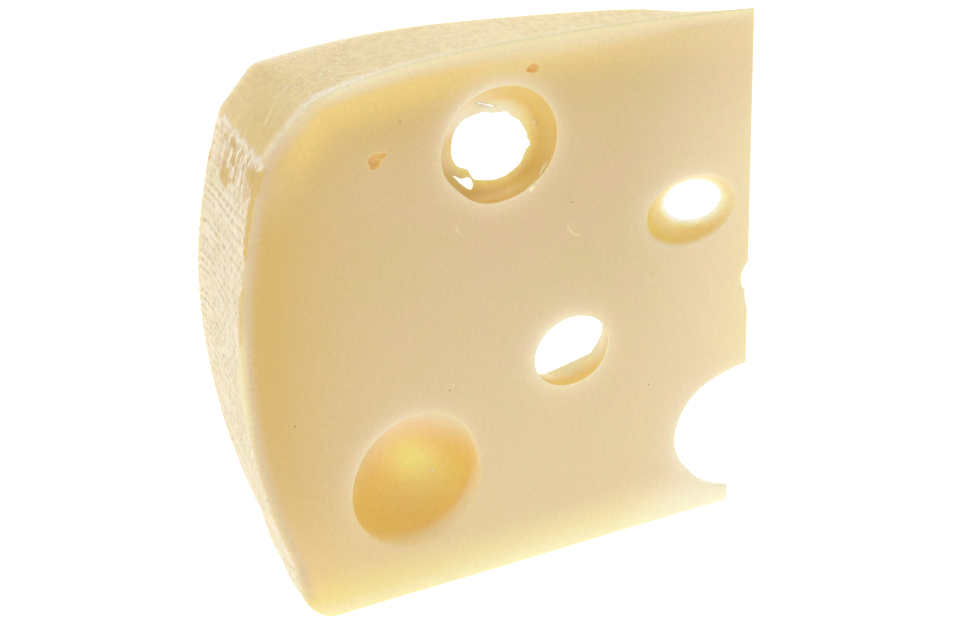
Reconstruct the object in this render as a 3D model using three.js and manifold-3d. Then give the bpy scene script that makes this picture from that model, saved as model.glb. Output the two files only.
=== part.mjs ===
// A wedge cut from a wheel of hard cheese with large round eyes.
//
// The wedge stands on the wheel's flat crust. Its left side is a strip of the wheel's bulging rim,
// printed by the cloth the cheese was pressed in, and its top is the wheel's domed crust. Two cut
// faces run together into a thin upright edge on the right. Round eyes open on the cut faces, and
// some of them go right through.
//
// Millimetres, +Z up. The front cut face looks along -Y and the thin edge points along +X. The
// outlines below are drawn on the front cut face, with x = 0 at the rim's widest point and z = 0
// on the base; the finished wedge is centred over the origin at the end.

import * as THREE from 'three';
import { mergeVertices } from 'three/addons/utils/BufferGeometryUtils.js';
import Module from 'manifold-3d';

// ---- The wheel's section, seen on a cut face ----
const CROWN_HEIGHT = 148; // highest point of the domed top
const CROWN_X = 60; // how far in from the rim the top is highest
const CROWN_OUTER_RADIUS = 192; // curve of the top from the crown out to the shoulder
const CROWN_INNER_RADIUS = 740; // flatter curve of the top from the crown to the thin edge
const RIM_RADIUS = 178; // bulge of the rim
const RIM_WIDEST_HEIGHT = 80;
const BASE_CORNER_RADIUS = 5;

// ---- The thin edge, where the two cuts meet ----
const EDGE_TOP_X = 135.2;
const EDGE_LEAN = 0.051; // it leans out towards the base, mm for each mm down
const TIP_X = 137.2; // the base's tip, broken back a little
const TIP_HEIGHT = 7;
const BREAK_HEIGHT = 40; // from here down the edge runs back to the tip

// ---- The shoulder, the bevel between the rim and the top; sharper on the back cut ----
const FRONT_SHOULDER = { low: 131, inner: 19.8, rounding: 0.42 };
const BACK_SHOULDER = { low: 132.7, inner: 15.9, rounding: 0.12 };
const TOP_REACH = 1.6; // the rounding runs this much further along the top than down the rim

// ---- The wedge's thickness: how far the back cut face lies behind the front one ----
const RIM_THICKNESS = 28.5;
const TAPER = 0.198; // thinner by this for each mm towards the thin edge
const SPREAD = 0.006; // thicker by this for each mm up
const DROOP = 1.2; // how far the back's top line sinks by the thin corner
const DROOP_START_X = 104;
const DROOP_FULL_X = 121;

// ---- The rolled lip where a cut face meets the crust ----
const LIP = 1.2;
const LIP_SHARE = 0.3; // never more of the local thickness than this

// ---- The cloth print on the rim ----
const CLOTH_PITCH = 2.6; // from one fold to the next, up the rim
const CLOTH_DEPTH = 0.45;
const CLOTH_LOW = 9;
const CLOTH_HIGH = 128;
const CLOTH_FADE = 7;

// ---- How finely the surface is divided ----
const ROWS_PER_FOLD = 4;
const CAP_STEP = 5; // the cut faces take every fifth row of the rim
const RIM_ROWS = CAP_STEP * Math.round((FRONT_SHOULDER.low * ROWS_PER_FOLD) / CLOTH_PITCH / CAP_STEP);
const COLUMNS = 7; // strips across the crust, between its two lips
const STEPS = { base: 14, tip: 2, brokenEdge: 3, edge: 16, top: 30, shoulder: 14, corner: 6 };

// ---- The eyes: middle as x, depth behind the front cut and height; radii; drift of the deeper
// ---- sections along x and z for each mm of depth, if they drift; facets round the wall ----
const EYES = {
  upper: { at: [66.6, 3, 122.5], radii: [15.6, 15.6, 15.4], drift: [0.2, -0.5], facets: 36 },
  nearEdge: { at: [120.5, -8.4, 92.3], radii: [16.1, 14.7, 11.7], drift: [0.15, 0.08], facets: 40 },
  middle: { at: [87.6, 7.4, 61.2], radii: [12.8, 12.9, 12.4], drift: [0.1, -0.1], facets: 30 },
  lowHollow: { at: [43.8, -1.2, 35.3], radii: [17.2, 17.4, 18.3], facets: 40 },
  bigNotch: { at: [138.6, 1.5, 23.9], radii: [19.6, 18, 18.9], facets: 36 },
  smallNotch: { at: [146, 1, 67.4], radii: [9.4, 9, 9.2], facets: 24 },
};
const EYE_UNEVENNESS = 0.02; // how far the walls wander, as a share of the radius

// ---- Small pits in the front and the back cut face ----
const PITS = [
  { x: 35.8, z: 124.7, radius: 2.1, face: 'front' },
  { x: 74.9, z: 140.2, radius: 1.6, face: 'front' },
  { x: 28.5, z: 96, radius: 1.7, face: 'back' },
  { x: 101, z: 121, radius: 1.5, face: 'back' },
];
const PIT_DEPTH_SHARE = 0.8;
const PIT_HEIGHT_SHARE = 0.85;
const PIT_UNEVENNESS = 0.12;
const PIT_FACETS = 12;

const CHEESE = { color: 0xe6cd96, roughness: 0.45, metalness: 0 };

const wasm = await Module();
wasm.setup();

// ---------------------------------------------------------------------------------------------
// The section's curves
// ---------------------------------------------------------------------------------------------

const lerp = THREE.MathUtils.lerp;
const smoothstep = THREE.MathUtils.smoothstep;

/** How far in the rim lies at a height. */
function rimX(z) {
  const rise = z - RIM_WIDEST_HEIGHT;
  return RIM_RADIUS - Math.sqrt(RIM_RADIUS * RIM_RADIUS - rise * rise);
}

/** The height of the domed top. */
function topZ(x) {
  const radius = x < CROWN_X ? CROWN_OUTER_RADIUS : CROWN_INNER_RADIUS;
  return CROWN_HEIGHT - (x - CROWN_X) ** 2 / (2 * radius);
}

/** Where the thin edge runs at a height. */
function edgeX(z) {
  return EDGE_TOP_X + EDGE_LEAN * (topZ(EDGE_TOP_X) - z);
}

/** How far the back cut lies behind the front one at a place. */
function thickness(x, z) {
  return RIM_THICKNESS - TAPER * x + SPREAD * z;
}

/** The shoulder's bevel, rounded into the rim and the top by a quadratic curve at each end. */
function shoulderPoints(shoulder, count) {
  const low = new THREE.Vector2(rimX(shoulder.low), shoulder.low);
  const high = new THREE.Vector2(shoulder.inner, topZ(shoulder.inner));
  const reach = shoulder.rounding * low.distanceTo(high);
  const topX = high.x + TOP_REACH * reach;
  const topStart = new THREE.Vector2(topX, topZ(topX));
  const rimEnd = new THREE.Vector2(rimX(low.y - reach), low.y - reach);
  const path = new THREE.CurvePath();
  const bevelHigh = high.clone().lerp(low, shoulder.rounding);
  const bevelLow = low.clone().lerp(high, shoulder.rounding);
  path.add(new THREE.QuadraticBezierCurve(topStart, high, bevelHigh));
  path.add(new THREE.LineCurve(bevelHigh, bevelLow));
  path.add(new THREE.QuadraticBezierCurve(bevelLow, low, rimEnd));
  return path.getSpacedPoints(count);
}

/** The rounded corner between the rim and the base, from the rim down. */
function baseCorner() {
  const inner = RIM_RADIUS - BASE_CORNER_RADIUS;
  const drop = RIM_WIDEST_HEIGHT - BASE_CORNER_RADIUS;
  const reach = Math.sqrt(inner * inner - drop * drop);
  const centre = new THREE.Vector2(RIM_RADIUS - reach, BASE_CORNER_RADIUS);
  const start = Math.PI + Math.atan2(drop, reach);
  return { centre, start, end: 1.5 * Math.PI };
}

/**
 * One cut face's outline, anticlockwise from the base corner, as { x, z, rim } points. The two
 * faces' outlines have the same number of points, so that each point has its partner.
 */
function outline(shoulder, droop) {
  const points = [];
  const add = (x, z, rim = false) => points.push({ x, z, rim });
  const corner = baseCorner();
  const run = (count, place) => {
    for (let i = 0; i < count; i += 1) place(i / count);
  };

  // Base, tip and thin edge.
  run(STEPS.base, (t) => add(lerp(corner.centre.x, TIP_X, t), 0));
  run(STEPS.tip, (t) => add(TIP_X, TIP_HEIGHT * t));
  run(STEPS.brokenEdge, (t) => {
    add(lerp(TIP_X, edgeX(BREAK_HEIGHT), t), lerp(TIP_HEIGHT, BREAK_HEIGHT, t));
  });
  run(STEPS.edge, (t) => {
    const z = lerp(BREAK_HEIGHT, topZ(EDGE_TOP_X), t);
    add(edgeX(z), z);
  });

  // Top, from the thin edge to the shoulder.
  const shoulderCurve = shoulderPoints(shoulder, STEPS.shoulder);
  const topEnd = shoulderCurve[0].x;
  run(STEPS.top, (t) => {
    const x = lerp(EDGE_TOP_X, topEnd, t);
    add(x, topZ(x) - droop * smoothstep(x, DROOP_START_X, DROOP_FULL_X));
  });
  shoulderCurve.slice(0, -1).forEach((p) => add(p.x, p.y));

  // Rim, in rows fine enough for the cloth's folds, and the corner under it.
  const rimTop = shoulderCurve[shoulderCurve.length - 1].y;
  const rimBottom = corner.centre.y + BASE_CORNER_RADIUS * Math.sin(corner.start);
  run(RIM_ROWS, (t) => {
    const z = lerp(rimTop, rimBottom, t);
    add(rimX(z), z, true);
  });
  run(STEPS.corner, (t) => {
    const angle = lerp(corner.start, corner.end, t);
    add(
      corner.centre.x + BASE_CORNER_RADIUS * Math.cos(angle),
      corner.centre.y + BASE_CORNER_RADIUS * Math.sin(angle),
    );
  });
  return points;
}

/** Each point's direction into the face, in the face's plane. */
function inwardNormals(points) {
  return points.map((_, i) => {
    const before = points[(i + points.length - 1) % points.length];
    const after = points[(i + 1) % points.length];
    const along = new THREE.Vector2(after.x - before.x, after.z - before.z).normalize();
    return { x: -along.y, z: along.x };
  });
}

// ---------------------------------------------------------------------------------------------
// The crust
// ---------------------------------------------------------------------------------------------

/** Depth of the cloth print at a height and a share of the way across, from front to back. */
function clothDepth(z, across) {
  const started = smoothstep(z, CLOTH_LOW, CLOTH_LOW + CLOTH_FADE);
  const ended = smoothstep(z, CLOTH_HIGH - CLOTH_FADE, CLOTH_HIGH);
  const slant = 2.1 * Math.sin(2.2 * across + z / 31) + 0.8 * Math.sin(5.3 * across - z / 17);
  const fold = Math.abs(Math.sin((Math.PI * (z + slant)) / CLOTH_PITCH));
  const strength = 0.6 + 0.4 * Math.sin(z / 9 + 4 * across);
  return CLOTH_DEPTH * started * (1 - ended) * strength * (1 - fold);
}

/**
 * The rings of points that make the crust, from the front cut face to the back one. Each ring
 * follows the outline; the first and last lie in the cut faces, a lip's width inside it.
 */
function crustRings(front, back) {
  const frontIn = inwardNormals(front);
  const backIn = inwardNormals(back);
  const lips = [
    { inset: 1, depth: 0 },
    { inset: 0.3, depth: 0.3 },
    { inset: 0, depth: 1 },
  ];
  const rings = [];

  // A ring a share of the way across the crust, or on a lip when inset and depth are given: how
  // far it lies inside the outline and behind its cut face, both in lip widths.
  const ringAt = (across, inset = 0, depth = 1) => front.map((f, i) => {
    const lip = Math.min(LIP, LIP_SHARE * thickness(f.x, f.z));
    const print = f.rim ? clothDepth(f.z, across) * (1 - inset) : 0;
    const inwards = inset * lip + print;
    const x = lerp(f.x, back[i].x, across) + lerp(frontIn[i].x, backIn[i].x, across) * inwards;
    const z = lerp(f.z, back[i].z, across) + lerp(frontIn[i].z, backIn[i].z, across) * inwards;
    const y = lerp(depth * lip, thickness(x, z) - depth * lip, across);
    return new THREE.Vector3(x, y, z);
  });

  lips.forEach(({ inset, depth }) => rings.push(ringAt(0, inset, depth)));
  for (let column = 1; column < COLUMNS; column += 1) {
    rings.push(ringAt(column / COLUMNS));
  }
  lips.reverse().forEach(({ inset, depth }) => rings.push(ringAt(1, inset, depth)));
  return rings;
}

// ---------------------------------------------------------------------------------------------
// The uncut wedge as a closed mesh
// ---------------------------------------------------------------------------------------------

/** Which points of a ring the cut faces use: all but four in five of the rim's rows. */
function capPicks(points) {
  const firstRim = points.findIndex((p) => p.rim);
  return points
    .map((p, i) => i)
    .filter((i) => !points[i].rim || (i - firstRim) % CAP_STEP === 0);
}

/** Triangles between a whole ring and the few points of a cap, both closed and starting at 0. */
function stitch(picks, capStart, fineStart, fineCount, emit) {
  const capCount = picks.length;
  const pickAt = (k) => (k < capCount ? picks[k] : fineCount);
  let k = 0;
  let j = 0;
  while (k < capCount || j < fineCount) {
    const capNow = capStart + (k % capCount);
    const capNext = capStart + ((k + 1) % capCount);
    const fineNow = fineStart + (j % fineCount);
    const fineNext = fineStart + ((j + 1) % fineCount);
    const takeCap = k < capCount && (j === fineCount || j >= (pickAt(k) + pickAt(k + 1)) / 2);
    if (takeCap) {
      emit(capNow, fineNow, capNext);
      k += 1;
    } else {
      emit(capNow, fineNow, fineNext);
      j += 1;
    }
  }
}

function wedgeGeometry() {
  const front = outline(FRONT_SHOULDER, 0);
  const back = outline(BACK_SHOULDER, DROOP);
  const rings = crustRings(front, back);
  const picks = capPicks(front);
  const last = rings.length - 1;
  const count = front.length;
  const positions = [];
  const triangles = [];
  const starts = rings.map((ring, r) => {
    const start = positions.length / 3;
    const used = r === 0 || r === last ? picks.map((i) => ring[i]) : ring;
    used.forEach((p) => positions.push(p.x, p.y, p.z));
    return start;
  });

  // The crust between the inner rings.
  for (let r = 1; r < last - 1; r += 1) {
    for (let i = 0; i < count; i += 1) {
      const next = (i + 1) % count;
      const a = starts[r] + i;
      const b = starts[r + 1] + i;
      const c = starts[r] + next;
      const d = starts[r + 1] + next;
      triangles.push(a, b, c, c, b, d);
    }
  }

  // The lips, from the crust onto the cut faces.
  stitch(picks, starts[0], starts[1], count, (a, b, c) => triangles.push(a, b, c));
  stitch(picks, starts[last], starts[last - 1], count, (a, b, c) => triangles.push(a, c, b));

  // The two cut faces.
  const face = (ring) => {
    const contour = picks.map((i) => new THREE.Vector2(ring[i].x, ring[i].z));
    return THREE.ShapeUtils.triangulateShape(contour, []);
  };
  face(rings[0]).forEach(([a, b, c]) => {
    triangles.push(starts[0] + a, starts[0] + b, starts[0] + c);
  });
  face(rings[last]).forEach(([a, b, c]) => {
    triangles.push(starts[last] + a, starts[last] + c, starts[last] + b);
  });

  const geometry = new THREE.BufferGeometry();
  geometry.setAttribute('position', new THREE.Float32BufferAttribute(positions, 3));
  geometry.setIndex(triangles);
  return geometry;
}

// ---------------------------------------------------------------------------------------------
// The eyes
// ---------------------------------------------------------------------------------------------

/** A round hollow whose wall wanders a little and whose deeper sections drift aside. */
function eyeGeometry({ at, radii, facets, drift = [0, 0], uneven = EYE_UNEVENNESS }) {
  const geometry = new THREE.SphereGeometry(1, facets, Math.round(facets / 2));
  const position = geometry.getAttribute('position');
  const p = new THREE.Vector3();
  for (let i = 0; i < position.count; i += 1) {
    p.fromBufferAttribute(position, i);
    const wander = Math.sin(2.3 * p.x + at[0]) + Math.sin(3.1 * p.z + at[2]) * Math.cos(2.2 * p.y);
    p.multiplyScalar(1 + uneven * wander);
    const depth = at[1] + radii[1] * p.y;
    position.setXYZ(
      i,
      at[0] + radii[0] * p.x + drift[0] * depth,
      depth,
      at[2] + radii[2] * p.z + drift[1] * depth,
    );
  }
  return geometry;
}

/** A small pit with an uneven rim. */
function pitGeometry({ x, z, radius, face }) {
  const y = face === 'front' ? 0 : thickness(x, z);
  const radii = [radius, radius * PIT_DEPTH_SHARE, radius * PIT_HEIGHT_SHARE];
  return eyeGeometry({ at: [x, y, z], radii, uneven: PIT_UNEVENNESS, facets: PIT_FACETS });
}

// ---------------------------------------------------------------------------------------------
// Cutting, and the finished part
// ---------------------------------------------------------------------------------------------

function toManifold(geometry) {
  const bare = geometry.clone();
  bare.deleteAttribute('normal');
  bare.deleteAttribute('uv');
  const merged = mergeVertices(bare, 1e-5);
  return new wasm.Manifold(new wasm.Mesh({
    numProp: 3,
    vertProperties: new Float32Array(merged.getAttribute('position').array),
    triVerts: new Uint32Array(merged.getIndex().array),
  }));
}

function toGeometry(manifold) {
  const mesh = manifold.getMesh();
  const geometry = new THREE.BufferGeometry();
  geometry.setAttribute('position', new THREE.BufferAttribute(mesh.vertProperties, 3));
  geometry.setIndex(new THREE.BufferAttribute(mesh.triVerts, 1));
  geometry.computeVertexNormals();
  return geometry;
}

function cheeseWedge() {
  let solid = toManifold(wedgeGeometry());
  Object.values(EYES).forEach((eye) => {
    solid = solid.subtract(toManifold(eyeGeometry(eye)));
  });
  PITS.forEach((pit) => {
    solid = solid.subtract(toManifold(pitGeometry(pit)));
  });
  const geometry = toGeometry(solid);
  geometry.computeBoundingBox();
  const middle = geometry.boundingBox.getCenter(new THREE.Vector3());
  geometry.translate(-middle.x, -middle.y, -geometry.boundingBox.min.z);
  const mesh = new THREE.Mesh(geometry, new THREE.MeshStandardMaterial(CHEESE));
  mesh.name = 'cheese_wedge';
  return mesh;
}

const part = new THREE.Group();
part.add(cheeseWedge());

export default part;
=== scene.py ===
"""A wedge of hard cheese with large round eyes, standing on its flat crust.

The wedge is one piece. Its rim carries the print of the cloth the cheese was pressed in, its top is
pebbled crust, and its two cut faces show the eyes. Lengths are in millimetres in the drawing frame
(x = 0 at the rim's widest point, y = 0 on the front cut face, z = 0 on the base) until to_frame().
"""

import math

import bpy
import numpy as np
from mathutils import Matrix, Vector
from mathutils.bvhtree import BVHTree
from mathutils.geometry import delaunay_2d_cdt


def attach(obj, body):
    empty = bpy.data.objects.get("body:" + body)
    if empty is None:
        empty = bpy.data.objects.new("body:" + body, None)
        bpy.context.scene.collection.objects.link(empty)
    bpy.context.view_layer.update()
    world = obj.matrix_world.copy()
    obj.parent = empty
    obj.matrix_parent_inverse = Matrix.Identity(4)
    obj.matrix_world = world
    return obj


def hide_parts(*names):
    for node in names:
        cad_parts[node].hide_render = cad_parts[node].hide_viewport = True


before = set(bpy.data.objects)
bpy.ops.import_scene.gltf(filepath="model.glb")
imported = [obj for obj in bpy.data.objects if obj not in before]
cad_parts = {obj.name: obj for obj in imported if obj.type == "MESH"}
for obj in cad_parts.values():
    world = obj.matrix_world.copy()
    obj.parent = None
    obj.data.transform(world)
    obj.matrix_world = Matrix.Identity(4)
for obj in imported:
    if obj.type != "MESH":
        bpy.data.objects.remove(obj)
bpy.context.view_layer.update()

# ---- The wedge's named sizes ----
CROWN_HEIGHT, CROWN_X = 148.0, 60.0
CROWN_OUTER_RADIUS, CROWN_INNER_RADIUS = 192.0, 740.0
RIM_RADIUS, RIM_WIDEST_HEIGHT = 178.0, 80.0
BASE_CORNER_RADIUS, FOOT_BULGE = 5.0, 2.6
EDGE_TOP_X, EDGE_LEAN = 135.19, 0.051
TIP_X, TIP_HEIGHT, BREAK_HEIGHT = 137.2, 7.0, 40.0  # the thin edge's broken foot
FRONT_SHOULDER = (131.0, 19.8, 0.42)  # lowest height, inner end, rounding
BACK_SHOULDER = (132.7, 15.9, 0.12)
TOP_REACH = 1.6  # how much further a shoulder is rounded along the top than down the rim
RIM_THICKNESS, TAPER, SPREAD = 28.5, 0.198, 0.006
DROOP, DROOP_START_X, DROOP_FULL_X = 1.2, 104.0, 121.0  # the back outline sinks to the thin edge
LIP, LIP_SHARE, LIP_AT_BASE = 0.75, 0.12, 0.4  # the crust's bevel along both cuts
TURN_REACH = 1.7  # how many bevels away from a sharp corner the direction inwards starts to turn
# How far the rim's back half lies in, at some heights
SLACK_HEIGHTS, SLACK = (0, 4, 8, 14, 40, 60, 80, 95), (0.6, 1.4, 1.5, 1.4, 1.5, 1.2, 0.5, 0)
THIN = 6.0  # the thickness under which the cuts' relief fades out
CENTRE = np.array([70.176, 14.379, 0.0])  # the part's origin, in the drawing frame

# ---- How finely the skin is divided ----
BASE, TIP, EDGE, TOP, SHOULDER, RIM, CORNER = range(7)
STEPS = {BASE: 60, TIP: 5, EDGE: 76, TOP: 236, SHOULDER: 50, RIM: 372, CORNER: 20}
BROKEN_STEPS = 16  # those of the thin edge's steps that lie below BREAK_HEIGHT
COLUMNS = 65
LIP_STEPS = 5
FRONT_SPACING, BACK_SPACING = 1.35, 1.8
FRONT_SEED, BACK_SEED = 51, 61


# ---- Small helpers ----

def smooth(v, low, high):
    """A smooth step from 0 at low to 1 at high."""
    t = np.clip((np.asarray(v, float) - low) / (high - low), 0.0, 1.0)
    return t * t * (3.0 - 2.0 * t)


def fall(v, low, high):
    """A smooth step from 1 at low to 0 at high."""
    return 1.0 - smooth(v, low, high)


def lerp(a, b, t):
    return a + (b - a) * t


def spot_at(*directions):
    """1 at a place and fading round it. Each direction is a value, its middle and its reach."""
    return np.exp(-sum(((v - middle) / reach) ** 2 for v, middle, reach in directions))


def bump_at(angle, at, width, height):
    """A bump round a circle, in degrees."""
    off = (angle - at + 180.0) % 360.0 - 180.0
    return height * np.exp(-(off / width) ** 2)


def scatter(*cells, seed=0):
    """A steady random number from 0 to 1 for each cell of whole numbers."""
    h = np.zeros_like(np.asarray(cells[0], np.int64)) + seed * 2654435
    for c, prime in zip(cells, (73856093, 19349663, 83492791)):
        h = h ^ (np.asarray(c, np.int64) * prime)
    h &= 0xFFFFFFFF
    h = ((h ^ (h >> 15)) * 2246822519) & 0xFFFFFFFF
    h = ((h ^ (h >> 13)) * 3266489917) & 0xFFFFFFFF
    return (h ^ (h >> 16)) / 0xFFFFFFFF


def noise(x, y=0.0, z=0.0, seed=0):
    """Smooth noise from 0 to 1 with features about 1 across."""
    x, y, z = np.broadcast_arrays(*(np.asarray(v, float) for v in (x, y, z)))
    cell = [np.floor(v).astype(np.int64) for v in (x, y, z)]
    part = [v - c for v, c in zip((x, y, z), cell)]
    part = [t * t * (3.0 - 2.0 * t) for t in part]
    total = np.zeros(x.shape)
    for corner in range(8):
        step = [(corner >> k) & 1 for k in range(3)]
        weight = np.ones(x.shape)
        for t, s in zip(part, step):
            weight = weight * (t if s else 1.0 - t)
        total += weight * scatter(*(c + s for c, s in zip(cell, step)), seed=seed)
    return total


def blobs(x, y, seed=0):
    """Distance to the nearest of one scattered point in each unit cell, and that point's number."""
    cx, cy = np.floor(x).astype(np.int64), np.floor(y).astype(np.int64)
    best = np.full(np.shape(x), 9.0)
    label = np.zeros(np.shape(x))
    for i in (-1, 0, 1):
        for j in (-1, 0, 1):
            right, up, number = (scatter(cx + i, cy + j, seed=seed + k) for k in range(3))
            d = np.hypot(x - (cx + i + 0.15 + 0.7 * right), y - (cy + j + 0.15 + 0.7 * up))
            label = np.where(d < best, number, label)
            best = np.minimum(best, d)
    return best, label


# ---- The wheel's section ----

def foot_bulge(z):
    """How far the rim's foot stands out from the wheel's round section."""
    return FOOT_BULGE * fall(z, 2.0, 22.0) * smooth(z, -1.5, 7.0)


def rim_x(z):
    off = np.asarray(z, float) - RIM_WIDEST_HEIGHT
    return RIM_RADIUS - np.sqrt(RIM_RADIUS ** 2 - off ** 2) - foot_bulge(z)


def top_z(x):
    x = np.asarray(x, float)
    radius = np.where(x < CROWN_X, CROWN_OUTER_RADIUS, CROWN_INNER_RADIUS)
    return CROWN_HEIGHT - (x - CROWN_X) ** 2 / (2.0 * radius)


def edge_x(z):
    return EDGE_TOP_X + EDGE_LEAN * (top_z(EDGE_TOP_X) - z)


def thickness(x, z):
    return RIM_THICKNESS - TAPER * x + SPREAD * z


def shoulder_points(shoulder, count):
    """The slope from the top down to the rim, rounded at both ends, in even steps."""
    low_z, inner, rounding = shoulder
    low = np.array([rim_x(low_z), low_z])
    high = np.array([inner, float(top_z(inner))])
    reach = rounding * np.hypot(*(high - low))
    top_x = inner + TOP_REACH * reach
    top_start = np.array([top_x, float(top_z(top_x))])
    rim_end = np.array([float(rim_x(low_z - reach)), low_z - reach])
    bevel_high, bevel_low = lerp(high, low, rounding), lerp(low, high, rounding)

    def bend(a, b, c):
        t = np.linspace(0.0, 1.0, 60)[:, None]
        return (1 - t) ** 2 * a + 2 * t * (1 - t) * b + t ** 2 * c

    path = np.concatenate([bend(top_start, high, bevel_high), bend(bevel_low, low, rim_end)])
    run = np.concatenate([[0.0], np.cumsum(np.hypot(*np.diff(path, axis=0).T))])
    at = np.linspace(0.0, run[-1], count + 1)
    return np.stack([np.interp(at, run, path[:, k]) for k in (0, 1)], axis=1)


def outline(shoulder, droop):
    """A cut face's outline, anticlockwise from the base corner: x, z and each point's kind."""
    # The base corner's arc touches the base and, from inside, the rim's circle.
    inner, drop = RIM_RADIUS - BASE_CORNER_RADIUS, RIM_WIDEST_HEIGHT - BASE_CORNER_RADIUS
    reach = math.sqrt(inner * inner - drop * drop)
    corner_x, start = RIM_RADIUS - reach, math.pi + math.atan2(drop, reach)
    xs, zs, kinds = [], [], []

    def add(kind, x, z):
        x, z = np.broadcast_arrays(np.asarray(x, float), np.asarray(z, float))
        xs.append(x)
        zs.append(z)
        kinds.append(np.full(len(x), kind))

    def shares(count):
        return np.arange(count) / count

    add(BASE, lerp(corner_x, TIP_X, shares(STEPS[BASE])), 0.0)
    add(TIP, TIP_X, TIP_HEIGHT * shares(STEPS[TIP]))
    broken = shares(BROKEN_STEPS)
    add(EDGE, lerp(TIP_X, edge_x(BREAK_HEIGHT), broken), lerp(TIP_HEIGHT, BREAK_HEIGHT, broken))
    z = lerp(BREAK_HEIGHT, float(top_z(EDGE_TOP_X)), shares(STEPS[EDGE] - BROKEN_STEPS))
    add(EDGE, edge_x(z), z)
    curve = shoulder_points(shoulder, STEPS[SHOULDER])
    x = lerp(EDGE_TOP_X, curve[0, 0], shares(STEPS[TOP]))
    add(TOP, x, top_z(x) - droop * smooth(x, DROOP_START_X, DROOP_FULL_X))
    add(SHOULDER, curve[:-1, 0], curve[:-1, 1])
    z = lerp(curve[-1, 1], BASE_CORNER_RADIUS * (1 + math.sin(start)), shares(STEPS[RIM]))
    add(RIM, rim_x(z), z)
    angle = lerp(start, 1.5 * math.pi, shares(STEPS[CORNER]))
    z = BASE_CORNER_RADIUS * (1 + np.sin(angle))
    add(CORNER, corner_x + BASE_CORNER_RADIUS * np.cos(angle) - foot_bulge(z), z)
    return np.concatenate(xs), np.concatenate(zs), np.concatenate(kinds)


def inwards(x, z):
    """Each outline point's direction into the face, turned smoothly round sharp corners."""
    step = np.hypot(np.roll(x, -1) - x, np.roll(z, -1) - z)
    run = np.concatenate([[0.0], np.cumsum(step)])
    at, total = run[:-1], run[-1]
    reach = TURN_REACH * np.minimum(LIP, LIP_SHARE * thickness(x, z))

    def further(distance):
        return [np.interp((at + distance) % total, run, np.append(v, v[0])) for v in (x, z)]

    (ahead_x, ahead_z), (behind_x, behind_z) = further(reach), further(-reach)
    along_x, along_z = ahead_x - behind_x, ahead_z - behind_z
    length = np.hypot(along_x, along_z)
    return -along_z / length, along_x / length


# ---- Relief, always inwards from the plain form ----

CLOTH_PITCH, CLOTH_DEPTH = 2.6, 0.28  # the cloth's folds
PIT_ALONG, PIT_UP, PIT_DEPTH = 2.5, 2.05, 0.24  # the weave's pits: their spacing and depth
PRINT_TOP, PRINT_SLOPE = 129.6, 0.06  # where the print stops, and its rise towards the back
THREAD_DEPTH, STREAK_DEPTH = 0.14, 0.3


def cloth_end(u):
    """The ragged height at which the cloth print stops, just under the shoulder."""
    ragged = 1.5 * noise(u / 1.7, seed=3) + 0.9 * noise(u / 0.6, seed=4)
    return PRINT_TOP + PRINT_SLOPE * u + ragged


def bare_width(z):
    """How wide the rim's smooth strip is, along the front cut."""
    return 3.6 * np.exp(-((np.asarray(z, float) - 74.5) / 8.0) ** 2) - 0.4


def cloth(u, z):
    """The rim's surface, u behind the front cut: depth, painted shade for pits and creases, and
    wear.
    """
    across = u / RIM_THICKNESS
    slant = 2.1 * np.sin(2.2 * across + z / 31) + 0.8 * np.sin(5.3 * across - z / 17)
    fold = 1.0 - np.abs(np.sin(np.pi * (z + slant) / CLOTH_PITCH))
    strength = 0.6 + 0.4 * np.sin(z / 9 + 4 * across)
    printed = smooth(z, 0.8, 6.0) * fall(z, cloth_end(u) - 1.0, cloth_end(u))
    bare = bare_width(z) + 0.5 * (noise(z / 1.6, seed=14) - 0.5)
    printed = printed * (1.0 - 0.9 * fall(u, bare, bare + 0.8))

    # The weave's small pits, in rows that follow the folds.
    row = (z + slant) / PIT_UP
    i = np.floor(row)
    column = u / PIT_ALONG + 0.5 * (i % 2) + 0.35 * noise(u / 6, z / 9, seed=11) + 0.03 * z
    j = np.floor(column)
    off_row, off_column = row - i - 0.5, column - j - 0.5
    size = scatter(i, j, seed=12)
    along = smooth(u, 8.0, 17.0)  # pits lie along the folds at the back and stand up in front
    high, long = lerp(0.3, 0.17, along), lerp(0.15, 0.36, along)
    pit = np.exp(-(off_row / high) ** 2 - (off_column / long) ** 2) * smooth(size, 0.05, 0.7)
    crease = smooth(fold, 0.62, 0.97) * smooth(noise(u / 5.0, z / 4.0, seed=13), 0.35, 0.6)

    # Upright threads that the cloth pulled up, longer and deeper where the rim is worn.
    thread = noise(u / 0.75 + 0.3 * np.sin(z / 7), z / 4.5, seed=21)
    streak = noise(u / 0.7, z / 6.5, seed=22)
    worn = smooth(z, 115.5 + 5 * noise(u / 3.2, seed=23), 121.5) * smooth(
        noise(u / 4.2, z / 14, seed=24), 0.2, 0.5)
    depth = CLOTH_DEPTH * strength * fold * (1 - 0.7 * worn)
    depth = depth + PIT_DEPTH * pit * (1 - 0.6 * worn)
    depth = depth + THREAD_DEPTH * (1 - thread) + STREAK_DEPTH * worn * smooth(streak, 0.35, 0.75)
    # The pits and the folds' creases get painted shade.
    pit_shade = np.maximum(pit, 0.75 * crease) * (1.0 - 0.8 * worn)
    border = smooth(z, cloth_end(u) - 3.2, cloth_end(u) - 1.0)
    pit_shade = np.minimum(pit_shade * (1.0 + 0.4 * fall(z, 20.0, 70.0)), 1.0)
    return depth * printed, pit_shade * printed, worn * printed, border * printed, printed


# The top's scratches: each one's places along x and y.
SCRATCHES = (((29.4, 6.2), (31.2, 5.4), (34.1, 4.1), (37.6, 3.1)),
             ((11.6, 8.0), (13.4, 9.0), (15.7, 10.4), (17.9, 11.3), (19.7, 11.5)),
             ((29.0, 3.4), (31.0, 2.7), (33.4, 2.3)),
             ((52.0, 12.4), (56.5, 10.6), (60.2, 9.6)))


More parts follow.
